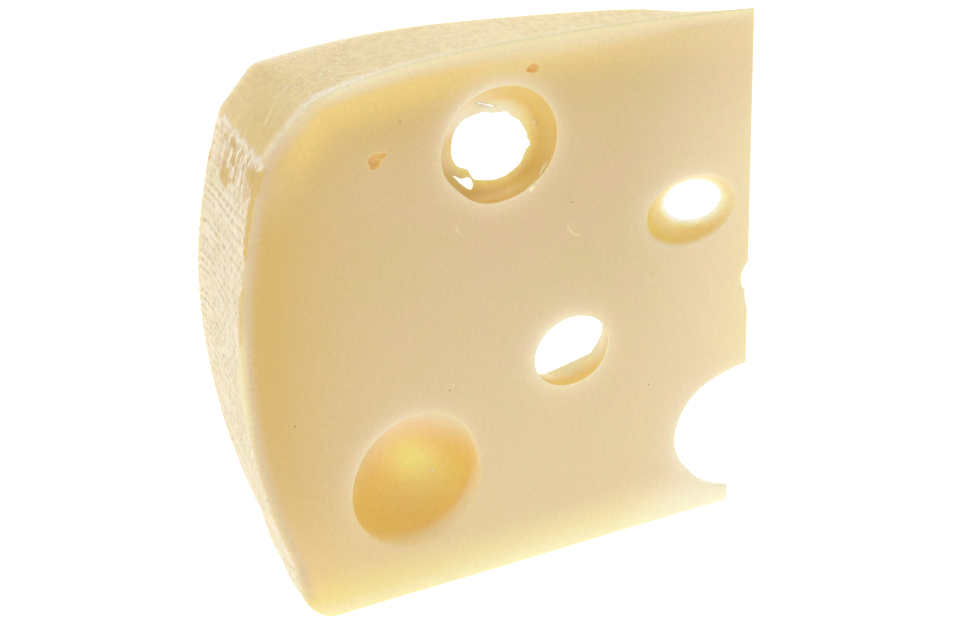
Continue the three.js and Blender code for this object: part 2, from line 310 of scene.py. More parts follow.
def near_path(x, y, path):
    """Distance to a path of straight stretches."""
    best = np.full(np.shape(x), 99.0)
    for (ax, ay), (bx, by) in zip(path, path[1:]):
        along = ((x - ax) * (bx - ax) + (y - ay) * (by - ay)) / ((bx - ax) ** 2 + (by - ay) ** 2)
        along = np.clip(along, 0.0, 1.0)
        best = np.minimum(best, np.hypot(x - ax - along * (bx - ax), y - ay - along * (by - ay)))
    return best


def crust_relief(x, y):
    """The depth of the top's and shoulder's gentle dents and pebbles."""
    dents = 0.18 * noise(x / 6.5, y / 5, seed=31) + 0.1 * noise(x / 2.4, y / 2, seed=32)
    d, label = blobs(x / 1.5, y / 1.5, seed=33)
    pebbly = smooth(noise(x / 16, y / 11, seed=34), 0.3, 0.6) * smooth(x, 16, 30)
    bump = fall(d, 0.12, 0.45) * smooth(label, 0.35, 0.8)
    return dents + 0.18 * pebbly * (1 - bump)


def cut_relief(x, z, seed):
    """How far a cut face lies inside its plane: slow waves and the knife's faint strokes."""
    waves = 0.22 * noise(x / 34, z / 26, seed=seed) + 0.05 * noise(x / 9, z / 7, seed=seed + 1)
    strokes = 0.025 * noise(x / 30, (z + 0.12 * x) / 1.7, seed=seed + 2)
    return waves + strokes


def shallow_relief(x, z, wide, seed):
    """The same, shallower where the wedge is thin."""
    return cut_relief(x, z, seed) * np.minimum(1.0, wide / THIN)


# ---- The uncut wedge as a closed mesh ----

class Shell:
    """Points, faces and each point's masks."""

    def __init__(self):
        self.points, self.faces, self.masks, self.total = [], [], [], 0

    def add(self, points, masks):
        start = self.total
        self.points.append(points)
        self.masks.append(masks)
        self.total += len(points)
        return start


MASKS = ("rim", "top", "pit", "worn", "border", "fleck", "spot", "pitted")


def ring_at(front, back, normals, across, inset, depth):
    """One ring round the crust, and its masks."""
    fx, fz, kind = front
    bx, bz, _ = back
    (fnx, fnz), (bnx, bnz) = normals
    lip = np.minimum(LIP, LIP_SHARE * thickness(fx, fz))
    lip *= lerp(LIP_AT_BASE, 1.0, smooth(fz, 4.0, 20.0))
    x, z = lerp(fx, bx, across), lerp(fz, bz, across)
    nx, nz = lerp(fnx, bnx, across), lerp(fnz, bnz, across)
    wide = thickness(x, z)
    u = lerp(depth * lip, wide - depth * lip, across)
    masks = {name: np.zeros(len(fx)) for name in MASKS}

    side = (kind == RIM) | (kind == CORNER)
    rim_depth, pit, worn, border, printed = cloth(u, z)
    dome = (kind == TOP) | (kind == SHOULDER)
    clothed = np.where(side | (kind == SHOULDER), printed, 0.0)
    top_depth = crust_relief(x, u) * smooth(u, 0.0, 2.5) * smooth(wide - u, 0.0, 2.5)
    bare = 1.0 - inset
    relief = (rim_depth * clothed + top_depth * dome * (1.0 - clothed)) * bare
    relief = relief + side * np.interp(z, SLACK_HEIGHTS, SLACK) * smooth(across, 0.3, 1.0)
    masks["rim"] = clothed
    masks["top"] = np.where(dome, 1.0 - clothed, 0.0)
    masks["pit"] = pit * clothed * bare
    masks["worn"] = worn * clothed
    masks["border"] = border
    scratch = np.min([near_path(x, u, path) for path in SCRATCHES], axis=0)
    masks["fleck"] = np.where(dome, 0.6 * spot_at((scratch, 0.0, 0.28)), 0.0)
    shift = inset * lip + relief
    x, z = x + nx * shift, z + nz * shift
    y_front = depth * lip + shallow_relief(x, z, wide, FRONT_SEED)
    y_back = thickness(x, z) - depth * lip - shallow_relief(x, z, wide, BACK_SEED)
    return np.stack([x, lerp(y_front, y_back, across), z], axis=1), masks


def cap_points(contour, spacing, seed):
    """Scattered points inside a contour, in rows about a spacing apart."""
    low, high = contour.min(0), contour.max(0)
    rows = np.arange(low[1] + spacing, high[1], spacing * 0.87)
    grid = []
    for k, z in enumerate(rows):
        x = np.arange(low[0] + spacing * (0.5 + 0.5 * (k % 2)), high[0], spacing)
        grid.append(np.stack([x, np.full(len(x), z)], axis=1))
    x, z = np.concatenate(grid).T
    jitter = 0.28 * spacing
    x, z = (x + jitter * (noise(x * 3.1, z * 3.3, seed=seed) - 0.5),
            z + jitter * (noise(x * 3.3, z * 3.1, seed=seed + 1) - 0.5))
    inside = np.zeros(len(x), bool)
    near = np.full(len(x), 9e9)
    following = np.roll(contour, -1, axis=0)
    for (ax, az), (bx, bz) in zip(contour, following):
        crosses = (az > z) != (bz > z)
        if crosses.any():
            at = ax + (z[crosses] - az) / (bz - az) * (bx - ax)
            inside[crosses] ^= x[crosses] < at
        near = np.minimum(near, (x - ax) ** 2 + (z - az) ** 2)
    kept = inside & (near > (0.6 * spacing) ** 2)
    return np.stack([x[kept], z[kept]], axis=1)


def add_cap(shell, start, count, side, spacing, seed):
    """The cut face inside the ring that starts at start."""
    ring = np.concatenate(shell.points)[start:start + count]
    contour = ring[:, [0, 2]]
    inner = cap_points(contour, spacing, seed)
    wide = thickness(*inner.T)
    relief = shallow_relief(*inner.T, wide, seed)
    y = relief if side == "front" else wide - relief
    masks = {name: np.zeros(len(inner)) for name in MASKS}
    begin = shell.add(np.stack([inner[:, 0], y, inner[:, 1]], axis=1), masks)
    flat = [Vector(p) for p in np.concatenate([contour, inner])]
    corners, _, triangles, origins, *_ = delaunay_2d_cdt(flat, [], [list(range(count))], 1, 1e-7)
    # Each corner's number in the shell, counted from the ring's first point
    number = [o[0] if o[0] < count else o[0] - count + begin - start for o in origins]
    for a, b, c in triangles:
        pa, pb, pc = (corners[k] for k in (a, b, c))
        turn = (pb - pa).cross(pc - pa)
        order = (a, b, c) if (turn > 0) == (side == "front") else (a, c, b)
        shell.faces.append(tuple(start + number[k] for k in order))


def wedge_shell():
    """The wedge before its eyes are cut: rings round the crust from front to back, and two caps."""
    front = outline(FRONT_SHOULDER, 0.0)
    back = outline(BACK_SHOULDER, DROOP)
    normals = inwards(*front[:2]), inwards(*back[:2])
    turns = np.linspace(0.0, math.pi / 2, LIP_STEPS + 1)
    lips = [(1 - math.sin(t), 1 - math.cos(t)) for t in turns]
    places = [(0.0, inset, depth) for inset, depth in lips]
    places += [(k / COLUMNS, 0.0, 1.0) for k in range(1, COLUMNS)]
    places += [(1.0, inset, depth) for inset, depth in reversed(lips)]
    shell = Shell()
    count = len(front[0])
    starts = [shell.add(*ring_at(front, back, normals, *place)) for place in places]
    step = np.arange(count)
    after = (step + 1) % count
    for a, b in zip(starts, starts[1:]):
        shell.faces += list(zip(*(v.tolist() for v in (a + step, b + step, b + after, a + after))))
    add_cap(shell, starts[0], count, "front", FRONT_SPACING, FRONT_SEED)
    add_cap(shell, starts[-1], count, "back", BACK_SPACING, BACK_SEED)
    return shell


def to_frame(points):
    return (np.asarray(points) - CENTRE) / 1000.0


def placed(name, data):
    """A new object in the scene."""
    made = bpy.data.objects.new(name, data)
    bpy.context.scene.collection.objects.link(made)
    return made


def mesh_from(name, points, faces, masks, wall):
    """A mesh object. Masks give each point a value, and wall marks an eye's inside."""
    mesh = bpy.data.meshes.new(name)
    mesh.from_pydata(to_frame(points).tolist(), [], faces)
    mesh.update()
    for mask in MASKS:
        values = np.broadcast_to(masks.get(mask, 0.0), len(points)).astype(np.float32)
        mesh.attributes.new(mask, "FLOAT", "POINT").data.foreach_set("value", values)
    mesh.materials.append(None)
    mesh.materials.append(None)
    mesh.polygons.foreach_set("material_index", [int(wall)] * len(mesh.polygons))
    return placed(name, mesh)


# ---- The eyes ----

# Each eye is a ball: its centre, half sizes, and how it drifts aside and up towards the back. Its
# mouth flares, dents pull its wall in, and its edge may be worn; each has an angle, a width and a
# share or a depth. A membrane is what is left of the back cut before it is torn.
EYES = {
    "upper": dict(at=(66.9, 3.0, 122.5), radii=(15.3, 15.6, 15.4), drift=(0.19, -0.5), flare=0.15,
                  dents=((222, 24, 0.06),), membrane=0.45, facets=120, rings=56),
    "near_edge": dict(at=(120.1, -8.4, 92.9), radii=(15.9, 14.7, 11.4), drift=(0.1, 0.08),
                      flare=0.3, facets=110, rings=44),
    "middle": dict(at=(87.3, 7.4, 60.8), radii=(12.5, 12.9, 11.9), drift=(0.1, -0.1), flare=0.25,
                   membrane=0.5, facets=104, rings=46),
    "low_hollow": dict(at=(43.8, -1.2, 35.3), radii=(17.2, 17.4, 18.3), flare=0.6,
                       worn_edge=(300, 62, 2.4), facets=124, rings=56),
    "big_notch": dict(at=(138.6, 1.5, 23.9), radii=(19.8, 18.0, 18.9), flare=0.25,
                      dents=((222, 26, 0.085), (108, 22, 0.035)), facets=124, rings=44),
    "small_notch": dict(at=(144.9, 1.0, 69.4), radii=(8.1, 9.0, 7.0), flare=0.2, facets=72,
                        rings=28),
    "small_notch_tail": dict(at=(145.9, 1.0, 67.0), radii=(7.8, 9.0, 12.0), flare=0.2, facets=72,
                             rings=28),
}
EYE_UNEVENNESS = 0.02
PITS = [  # a pit whose y is None is on the back cut
    dict(at=(35.0, 0.0, 124.9), radii=(1.6, 1.7, 1.9)),
    dict(at=(36.3, 0.0, 126.1), radii=(1.4, 1.3, 1.1)),
    dict(at=(74.9, 0.0, 140.2), radii=(1.6, 1.3, 1.35)),
    dict(at=(28.5, None, 96.0), radii=(1.7, 1.35, 1.45)),
    dict(at=(101.0, None, 121.0), radii=(1.5, 1.2, 1.3)),
]


def eye_points(at, radii, drift=(0.0, 0.0), flare=0.0, membrane=None, facets=96, rings=40,
               uneven=EYE_UNEVENNESS, ragged=0.0, mouth=True, dents=(), worn_edge=(0, 1, 0.0)):
    """A round hollow: rings of points from front to back, with its mouth rounded over."""
    low, high = at[1] - radii[1], at[1] + radii[1]
    depths = np.linspace(low, high, 400)
    density = np.ones(len(depths))
    if mouth:
        density += 9.0 * np.exp(-((depths - 0.35) / 0.5) ** 2)
        density += 3.0 * (np.abs(depths - high) < 1.5) + 3.0 * (np.abs(depths - low) < 1.5)
    run = np.cumsum(density)
    levels = np.interp(np.linspace(run[0], run[-1], rings + 2)[1:-1], run, depths)
    turn = np.linspace(0.0, 2 * math.pi, facets, endpoint=False)

    def place(s, ring):
        """Points at a share s of the way along the hollow, -1 to 1, and a radius share ring."""
        p = np.stack([ring * np.cos(turn), np.full(facets, s), ring * np.sin(turn)], axis=1)
        px, py, pz = p.T
        wander = np.sin(2.3 * px + at[0]) + np.sin(3.1 * pz + at[2]) * np.cos(2.2 * py)
        rough = noise(px * 2.6 + at[0], py * 2.6, pz * 2.6 + at[2], seed=71) - 0.5
        p = p * (1 + uneven * wander + (0.012 + ragged) * rough)[:, None]
        for dent in dents:
            p = p * (1 - bump_at(np.degrees(turn), *dent) * ring)[:, None]
        depth = at[1] + radii[1] * p[:, 1]
        opened = np.clip(1.0 - depth / 0.8, 0.0, 0.96) if mouth else 0.0
        soft = flare * (0.55 + 0.9 * noise(p[:, 0] * 1.5 + at[0], p[:, 2] * 1.5, seed=72))
        grow = soft * (1.0 - np.sqrt(1.0 - opened ** 2))
        grow = grow + bump_at(np.degrees(turn), *worn_edge) * fall(depth, -0.5, 3.2) ** 2
        x = at[0] + (radii[0] + grow / max(ring, 0.3)) * p[:, 0] + drift[0] * depth
        z = at[2] + (radii[2] + grow / max(ring, 0.3)) * p[:, 2] + drift[1] * depth
        if membrane is not None:
            depth = np.minimum(depth, thickness(x, z) - cut_relief(x, z, BACK_SEED) - membrane)
        return np.stack([x, depth, z], axis=1)

    out = []
    for y in levels:
        s = (y - at[1]) / radii[1]
        out.append(place(s, math.sqrt(max(0.0, 1.0 - s * s))))
    return out, place(-1.0, 0.0)[:1], place(1.0, 0.0)[:1]


def closed_tube(rings, first, last):
    """Faces of a closed skin through rings of points, with a single point at each end."""
    count = len(rings[0])
    points = np.concatenate([first, last] + rings)
    faces = []
    for r in range(len(rings) - 1):
        a, b = 2 + r * count, 2 + (r + 1) * count
        faces += [(b + k, b + (k + 1) % count, a + (k + 1) % count, a + k) for k in range(count)]
    tail = 2 + (len(rings) - 1) * count
    faces += [(0, 2 + k, 2 + (k + 1) % count) for k in range(count)]
    faces += [(1, tail + (k + 1) % count, tail + k) for k in range(count)]
    return points, faces


TEAR_LEAN = (-0.47, 0.53)  # how far a tear runs aside and up for each mm ahead of the back cut
TEAR_BEHIND = 2.0  # how far a tear's plug stands out behind the back cut
FLAP_TILT, FLAP_DROP = 19.6, 10.9  # the middle eye's flap: its tilt, and how far it lies below


def tear_points(centre, profile, count, ahead=1.6, leans=False):
    """A thin plug through the back of an eye, whose outline is torn."""
    turn = np.linspace(0.0, 2 * math.pi, count, endpoint=False)
    reach = profile(np.degrees(turn))
    lean = TEAR_LEAN if leans else (0.0, 0.0)

    def ring(before, wide):
        x = centre[0] + wide * reach * np.cos(turn) + lean[0] * before
        z = centre[1] + wide * reach * np.sin(turn) + lean[1] * before
        return np.stack([x, thickness(x, z) - before, z], axis=1)

    rings = [ring(ahead, 0.98), ring(ahead / 2, 0.98), ring(0.2, 1.0), ring(-TEAR_BEHIND, 1.0)]
    return rings, ring(ahead, 0.0)[:1], ring(-TEAR_BEHIND, 0.0)[:1]


def upper_opening(angle):
    """The upper eye's torn opening: its reach at an angle, with a tongue, a step and a nick."""
    reach = 9.2 + 0.22 * (noise(angle / 7.0, seed=81) - 0.5)
    reach = reach + 0.12 * (noise(angle / 2.6, seed=82) - 0.5)
    for at, width, height in ((140, 32, 1.5), (68, 5, 0.55), (190, 22, 0.5), (357, 7, 0.75),
                              (88, 9, -0.35), (224, 11, -1.25), (340, 9, -0.25)):
        reach = reach + bump_at(angle, at, width, height)
    return reach


def second_opening(angle):
    """The small opening under the tongue, drawn out into a slit towards the rim."""
    reach = 1.9 + bump_at(angle, 149, 13, 4.6) + bump_at(angle, 320, 30, 0.3)
    return reach + bump_at(angle, 105, 14, -0.3) + 0.25 * (noise(angle / 11.0, seed=83) - 0.5)


def sliver_opening(angle):
    """The thin crack over the opening."""
    return 0.18 + bump_at(angle, 161, 9, 2.3) + bump_at(angle, 341, 9, 2.3)


def middle_opening(angle):
    """The middle eye's opening, cut off below by a straight flap of cheese."""
    turn = np.radians(angle)
    reach = 12.6 + 0.15 * (noise(angle / 9.0, seed=84) - 0.5)
    below = np.sin(turn - math.radians(FLAP_TILT))
    straight = np.where(below < -0.05, FLAP_DROP / np.maximum(-below, 0.05), 99.0)
    return np.minimum(reach, straight + 0.2 * (noise(angle / 3.1, seed=85) - 0.5))


# Small marks on the front cut, by x and z.
DOTS = ((41.4, 133.6), (53.5, 58.6), (12.6, 59.9), (86.4, 102.9), (110.5, 44.5))
DOT_DEPTH, DOT_RADII = 0.1, (0.2, 0.35, 0.26)
NICK = ((55.2, 103.3), (55.8, 102.4), (56.3, 101.3))
CRESCENT = (90.9, 98.3, 5.58, 186.0, 263.0)  # centre, radius, and the angles it runs between
CRUMBS = [  # centre, half sizes, and the turn in the face's plane
    dict(at=(80.3, 2.6, 112.6), radii=(0.5, 1.2, 1.9), turn=-38.0),
    dict(at=(79.0, 1.9, 111.0), radii=(0.5, 0.9, 1.0), turn=-30.0),
    dict(at=(74.9, 0.42, 108.7), radii=(1.9, 0.34, 0.85), turn=38.0),
    dict(at=(77.0, 0.9, 110.2), radii=(0.9, 0.5, 0.45), turn=20.0),
    dict(at=(81.5, 11.1, 120.9), radii=(0.6, 1.0, 1.25), turn=10.0),
    dict(at=(54.0, 11.6, 27.6), radii=(0.7, 0.5, 0.9), turn=-20.0),
    dict(at=(33.6, 0.6, 126.7), radii=(0.4, 0.4, 0.4), turn=0.0),
    dict(at=(36.9, 0.6, 123.4), radii=(0.5, 0.4, 0.35), turn=0.0),
]

tools = []


def cut(name, skin, masks=None, wall=True, operation="DIFFERENCE"):
    """Keep a closed skin to be taken from the wedge, or added to it."""
    points, faces = closed_tube(*skin)
    tools.append((mesh_from(name, points, faces, masks or {}, wall), operation))


def groove(path, widest, sides=8):
    """A fine groove in the front cut, narrowing to its ends."""
    path = np.asarray(path, float)
    along = np.gradient(path, axis=0)
    along /= np.hypot(*along.T)[:, None]
    turn = np.linspace(0.0, 2 * math.pi, sides, endpoint=False)
    rings = []
    for k, (x, z) in enumerate(path):
        half = widest * (0.15 + 0.85 * math.sin(math.pi * (k + 0.5) / len(path)))
        aside = half * np.cos(turn)
        level = float(cut_relief(np.array([x]), np.array([z]), FRONT_SEED)[0])
        rings.append(np.stack([x - along[k, 1] * aside, level + half * np.sin(turn),
                               z + along[k, 0] * aside], axis=1))
    return rings, rings[0].mean(0)[None], rings[-1].mean(0)[None]


def crumb_points(at, radii, turn, facets=16, rings=9):
    """A small ragged lump of torn cheese."""
    points, first, last = eye_points((0.0, 0.0, 0.0), radii, facets=facets, rings=rings, uneven=0.1,
                                     ragged=0.5, mouth=False)
    c, s = math.cos(math.radians(turn)), math.sin(math.radians(turn))
    swing = np.array([[c, 0.0, s], [0.0, 1.0, 0.0], [-s, 0.0, c]])
    return [p @ swing + at for p in points], first @ swing + at, last @ swing + at


for name, eye in EYES.items():
    cut("eye_" + name, eye_points(**eye))
cut("tear_upper", tear_points((71.6, 114.8), upper_opening, 220))
cut("tear_second", tear_points((65.6, 105.2), second_opening, 90, ahead=3.2, leans=True))
cut("tear_sliver", tear_points((70.5, 125.7), sliver_opening, 60, ahead=4.2, leans=True))
cut("tear_middle", tear_points((88.4, 60.5), middle_opening, 200))
for number, pit in enumerate(PITS):
    x, y, z = pit["at"]
    at = (x, float(thickness(x, z)) if y is None else y, z)
    skin = eye_points(at, pit["radii"], facets=40, rings=18, uneven=0.12, ragged=0.3)
    cut(f"pit_{number}", skin, {"pitted": 1.0})
for number, (x, z) in enumerate(DOTS):
    skin = eye_points((x, DOT_DEPTH, z), DOT_RADII, facets=10, rings=6, mouth=False)
    cut(f"dot_{number}", skin, {"spot": 1.0}, wall=False)
for number, crumb in enumerate(CRUMBS):
    cut(f"crumb_{number}", crumb_points(**crumb), {"fleck": 1.0}, wall=False, operation="UNION")
x, z, radius, start, end = CRESCENT
angles = np.radians(np.linspace(start, end, 26))
arc = np.stack([x + radius * np.cos(angles), z + radius * np.sin(angles)], axis=1)
cut("crescent", groove(arc, 0.26), {"fleck": 0.8}, wall=False)
steps = np.linspace(0.0, 1.0, 12)
bent = np.stack([np.interp(steps, (0, 0.5, 1), [p[k] for p in NICK]) for k in (0, 1)], axis=1)
cut("nick", groove(bent, 0.28), {"fleck": 0.8}, wall=False)

shell = wedge_shell()
masks = {name: np.concatenate([m[name] for m in shell.masks]) for name in MASKS}
uncut = mesh_from("uncut", np.concatenate(shell.points), shell.faces, masks, False)
for tool, operation in tools:
    modifier = uncut.modifiers.new(tool.name, "BOOLEAN")
    modifier.operation, modifier.solver, modifier.object = operation, "MANIFOLD", tool
bpy.context.view_layer.update()
graph = bpy.context.evaluated_depsgraph_get()
body_mesh = bpy.data.meshes.new_from_object(uncut.evaluated_get(graph))
for made in [uncut] + [tool for tool, _ in tools]:
    bpy.data.objects.remove(made)
body_mesh.name = "cheese_body"
body = placed("cheese_body", body_mesh)


# ---- What the colours follow: each point's place, and how thin the cheese is there ----

def weights(name, values, domain="POINT"):
    """Keep a value from 0 to 1 for each point, which the material reads by its name."""
    made = body_mesh.attributes.new(name, "FLOAT", domain)
    made.data.foreach_set("value", np.clip(values, 0.0, 1.0).astype(np.float32))


def evened(values, rounds):
    """Values averaged with those of the neighbouring points."""
    ends = np.empty(len(body_mesh.edges) * 2, np.int32)
    body_mesh.edges.foreach_get("vertices", ends)
    a, b = ends[0::2], ends[1::2]
    share = np.bincount(ends, minlength=len(values)) + 1.0
    for _ in range(rounds):
        total = values.astype(float)
        for here, there in ((a, b), (b, a)):
            total = total + np.bincount(here, values[there], len(values))
        values = total / share
    return values


THIN_REACH = 0.0042  # how far light goes through the cheese, in metres
RAY_START, RAY_LENGTH = 4e-5, 0.03


def thinness(wanted):
    """Nearly 1 where little cheese lies behind a point, and 0 where it is thick."""
    tree = BVHTree.FromPolygons([v.co for v in body_mesh.vertices],
                                [tuple(p.vertices) for p in body_mesh.polygons])
    tilts = [Vector((0, 0, 1))]
    tilts += [Vector((0.75 * math.cos(t), 0.75 * math.sin(t), 0.66)) for t in (0.3, 2.4, 4.5)]
    out = np.zeros(len(body_mesh.vertices))
    for k in np.flatnonzero(wanted).tolist():
        v = body_mesh.vertices[k]
        inward = -v.normal
        side = inward.orthogonal().normalized()
        other = inward.cross(side)
        total = 0.0
        for t in tilts:
            aim = side * t.x + other * t.y + inward * t.z
            place, _, _, distance = tree.ray_cast(v.co + aim * RAY_START, aim, RAY_LENGTH)
            if place is not None:
                total += math.exp(-distance / THIN_REACH)
        out[k] = total / len(tilts)
    return out


MOUTHS = (
    # Each eye's mouth on the front cut: its radii, how strongly its border is painted pale, a halo
    # of light glowing through the thin cheese, all round and then near an angle, and the angle
    # where its wall fades into the cut, with the fade's depth.
    # Light from behind is painted glowing through the wall near an angle, from near to far ahead of
    # the back cut.
    dict(eye="upper", radii=(15.0, 15.1), pale=0.4, paler=(115, 50, 0.6), fades=(120, 45, 6.0),
         glows=((0, 999, 0.4, 0.3, 3.5), (195, 45, 0.7, 0.3, 6.0), (85, 80, 0.9, 0.8, 4.4),
                (125, 40, 0.9, 1.5, 9.5))),
    dict(eye="near_edge", radii=(13.1, 9.4), pale=0.15, paler=(100, 60, 0.7), fades=(40, 75, 9.0),
         glows=((0, 999, 0.9, 0.2, 1.8), (10, 50, 0.6, 0.4, 3.5), (200, 90, 0.35, 0.3, 6.0))),
    dict(eye="middle", radii=(10.3, 9.8), pale=0.5, paler=(125, 60, 0.7), fades=(35, 40, 5.0),
         glows=((0, 999, 0.85, 0.5, 5.0), (-20, 50, 0.8, 0.3, 8.0))),
    dict(eye="low_hollow", radii=(17.2, 18.3), pale=0.12, paler=(110, 75, 0.6),
         fades=(305, 70, 5.0), glows=()),
    dict(eye="big_notch", radii=(19.6, 18.9), pale=0.9, paler=(150, 60, 0.0), fades=(180, 99, 1.0),
         glows=((0, 999, 0.8, 98.0, 99.0),)))

WALL_REACH = 9.0  # how far an eye's walls may lie outside its mouth
# How frosty the top's front edge is, from the rim on, and how wide the rim's bald strip is
FROST_PLACES, FROST_SHARES = (4, 16, 24, 34, 48, 80), (0.45, 0.6, 0.9, 0.7, 0.35, 0.15)
STRIP_HEIGHTS = (84, 87, 92, 98, 100.5, 106, 108, 112, 117, 121, 124.2, 125, 127, 127.8, 129)
STRIP_WIDTHS = (0, 1.1, 1.3, 1, -0.6, -0.6, 0.6, 1.2, 1.4, 2.4, 2.8, 6.2, 6.6, 1.5, 0)

place = np.empty(len(body_mesh.vertices) * 3)
body_mesh.vertices.foreach_get("co", place)
x, y, z = (place.reshape(-1, 3) * 1000.0 + CENTRE).T
wide = thickness(x, z)
from_front = np.minimum(y, wide - y)
low_z, inner, _ = FRONT_SHOULDER
top_at_inner = float(top_z(inner))
slope = np.array([inner - float(rim_x(low_z)), top_at_inner - low_z])
slope /= np.hypot(*slope)
to_shoulder = (x - inner) * slope[1] - (z - top_at_inner) * slope[0]
to_top = np.minimum(top_z(x) - z, to_shoulder)
to_rim = x - rim_x(z)
to_crust = np.minimum(to_top, to_rim + 1.0)

# The cut faces: a golden band just inside the crust, brighter under the dome and cream along its
# edge, and rosy by the rim.
# Painted light makes them paler low down and at the sole, where the lit floor shines on them, and
# towards the thin edge, where light comes through.
gold_fade = lerp(21.0, 15.0, smooth(z, 106.0, 124.0))
gold = smooth(to_crust, 1.0, 5.0) * np.exp(-np.maximum(to_crust - 9.0, 0.0) / gold_fade)
gold *= lerp(1.0, 0.5, smooth(x, 40.0, 125.0)) * lerp(0.62, 1.0, smooth(z, 10.0, 90.0))
gold *= 1.0 - 0.4 * spot_at((x, 9.0, 6.0), (z, 124.0, 9.0))
cream_reach = 5.0 + 3.0 * spot_at((x, 85.0, 22.0)) - 1.5 * smooth(x, 100.0, 125.0)
weights("gold", gold)
weights("crown", fall(to_top, 4.0, 17.0) * smooth(x, 5.0, 20.0))
weights("cream", fall(to_top, 0.6, cream_reach) * smooth(x, 10.0, 26.0))
weights("rosy", spot_at((to_rim, 1.4, 1.4)))
# Painted light from the lit floor makes the paste and the gold paler low down.
weights("low", fall(z, 15.0, 118.0))
weights("lowest", fall(z, 8.0, 45.0))
# Painted glow of the lit floor's light at the foot and the sole.
weights("foot", fall(z, 0.5, 17.0))
weights("sole", 0.6 * fall(z, 0.5, 7.5))
# Paler towards the thin edge: painted glow of light coming through the thin cheese.
weights("right", smooth(x, 96.0, 137.0) * lerp(1.0, 0.55, smooth(z, 104.0, 130.0)))
weights("right_top", smooth(x, 12.0, 90.0))
# Where little cheese lies behind a point, light coming through is painted in as a pale glow.
weights("thin", evened(thinness((to_crust > 2.0) & (z > 0.5)), 2))

# The top: its crust starts behind the cut's edge, which is frosty, with painted glints of light on
# it towards the rim.
narrow = np.clip((wide - 2.0) / 12.0, 0.25, 1.0)
behind_edge = np.minimum(from_front, 6.0) - np.maximum(to_top, 0.0) - 0.75 * narrow
frost = spot_at((behind_edge, 0.0, lerp(1.45, 1.0, smooth(x, 22.0, 60.0))))
frost *= np.interp(x, FROST_PLACES, FROST_SHARES)
frost *= np.maximum(smooth(to_rim, 0.4, 1.6), fall(to_top, 0.2, 0.9))
glint_edge = spot_at((from_front, 1.6, 1.8)) * np.interp(x, (16, 24, 46, 80), (0.0, 1.0, 0.8, 0.0))
weights("skin", smooth(from_front / narrow, 0.3, 1.4))
weights("frost", evened(frost, 1) * (to_top < 4.0))
weights("glint_edge", glint_edge * (to_top < 3.0))
weights("glinty", smooth(x, 13.0, 22.0) * fall(x, 55.0, 95.0))
weights("golden_crust", fall(x, 10.0, 17.0) * fall(y, 10.0, 22.0))

# The rim: the print starts behind the cut's edge and leaves a smooth margin low down in front and
# along the back. High up a torn strip beside the front cut and a patch are rubbed bald.
torn = 0.7 * noise(z / 2.4, seed=91) + 0.7 * noise(z / 0.8, seed=92) - 0.75
strip_width = torn + np.interp(z, STRIP_HEIGHTS, STRIP_WIDTHS)
bald = spot_at((y, 17.5, 3.8), (z, 120.6, 3.0)) + 0.5 * (noise(y / 0.9, z / 2.2, seed=93) - 0.5)
strip = np.maximum(fall(y, strip_width, strip_width + 0.35), smooth(bald, 0.42, 0.6))
strip *= fall(to_rim - 1.8 * smooth(z, 122.0, 128.0), 0.4, 1.0)
strip *= smooth(z, 84.0, 87.0) * fall(z, 128.4, 129.4)
strip *= lerp(0.6, 1.0, smooth(z, 97.0, 106.0))
margin = smooth(z, 78.0, 88.0) * fall(z, 104.0, 113.0)
margin *= fall(wide - y, 1.8, 2.8)
margin = np.maximum(margin, 0.9 * fall(y, bare_width(z), bare_width(z) + 0.9))
weights("behind_cut", smooth(from_front, 0.12, 0.5))
weights("side", fall(to_rim, 0.7, 1.6))
weights("margin", margin)
weights("strip", strip)

